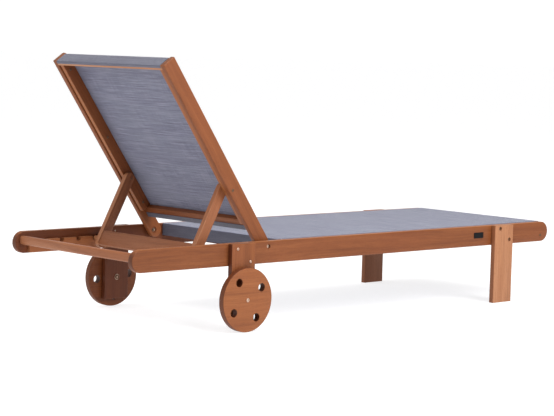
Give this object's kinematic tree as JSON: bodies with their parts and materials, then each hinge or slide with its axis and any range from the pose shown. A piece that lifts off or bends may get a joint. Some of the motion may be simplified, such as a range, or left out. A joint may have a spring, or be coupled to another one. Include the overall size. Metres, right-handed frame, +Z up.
{
  "type": "reclining sun lounger",
  "caption": "Timber sun lounger on two wheels and two feet, with stretched fabric slings and a backrest held up by a folding prop",
  "frame": {"origin": "on the ground, under the middle of the side rails", "axes": "+Y towards the head end, +X to the left of a person who lies on it face up, +Z up"},
  "size_m": [0.7006, 1.9, 0.8378],
  "materials": {
    "timber": "oiled reddish-brown hardwood, satin",
    "timber_light": "the same hardwood, paler and dry",
    "fabric": "woven coated outdoor mesh, blue-grey, matt",
    "steel": "dull plated steel",
    "plate": "blank plate, black lacquer"
  },
  "bodies": {
    "frame": {"axle_bolt_left": "steel", "axle_bolt_right": "steel", "axle_nut_left": "steel", "axle_nut_right": "steel", "axle_washer_left": "steel", "axle_washer_right": "steel", "back_pivot_bolt_left": "steel", "back_pivot_bolt_right": "steel", "back_pivot_nut_left": "steel", "back_pivot_nut_right": "steel", "back_pivot_spacer_left": "steel", "back_pivot_spacer_right": "steel", "badge_plate": "plate", "foot_cross_rail": "timber", "foot_leg_bolt_lower_left": "steel", "foot_leg_bolt_lower_right": "steel", "foot_leg_bolt_upper_left": "steel", "foot_leg_bolt_upper_right": "steel", "foot_leg_left": "timber", "foot_leg_right": "timber", "foot_rail_bolt_left": "steel", "foot_rail_bolt_right": "steel", "handle_bar": "timber", "rack_left": "timber", "rack_right": "timber", "seat_rear_rail": "timber", "seat_sling": "fabric", "side_rail_left": "timber", "side_rail_right": "timber", "wheel_leg_bolt_lower_left": "steel", "wheel_leg_bolt_lower_right": "steel", "wheel_leg_bolt_upper_left": "steel", "wheel_leg_bolt_upper_right": "steel", "wheel_leg_left": "timber", "wheel_leg_right": "timber"},
    "backrest": {"back_bottom_bar": "timber", "back_inner_batten_left": "timber", "back_inner_batten_right": "timber", "back_outer_board_left": "timber", "back_outer_board_right": "timber", "back_sling": "fabric", "back_top_bar": "timber_light", "batten_screw_lower_left": "steel", "batten_screw_lower_right": "steel", "batten_screw_middle_left": "steel", "batten_screw_middle_right": "steel", "batten_screw_upper_left": "steel", "batten_screw_upper_right": "steel", "prop_bolt_left": "steel", "prop_bolt_right": "steel"},
    "prop": {"prop_board": "timber", "prop_leg_left": "timber", "prop_leg_right": "timber", "prop_peg_left": "timber_light", "prop_peg_right": "timber_light"},
    "wheel_left": {"wheel_left": "timber"},
    "wheel_right": {"wheel_right": "timber"}
  },
  "joints": [
    {"name": "backrest_recline", "type": "hinge", "parent": "frame", "child": "backrest", "pos_m": [0, 0.4104, 0.255], "axis": [1, 0, 0], "range_deg": [-51.4, 8]},
    {"name": "prop_fold", "type": "hinge", "parent": "backrest", "child": "prop", "pos_m": [0, 0.54091, 0.43217], "axis": [1, 0, 0], "range_deg": [-17, 107]},
    {"name": "wheel_left_spin", "type": "hinge", "parent": "frame", "child": "wheel_left", "pos_m": [0.337, 0.529, 0.0995], "axis": [1, 0, 0], "continuous": true},
    {"name": "wheel_right_spin", "type": "hinge", "parent": "frame", "child": "wheel_right", "pos_m": [-0.337, 0.529, 0.0995], "axis": [1, 0, 0], "continuous": true}
  ],
  "couplings": [
    {"joint": "prop_fold", "follows": "backrest_recline", "ratio": -2.065}
  ]
}
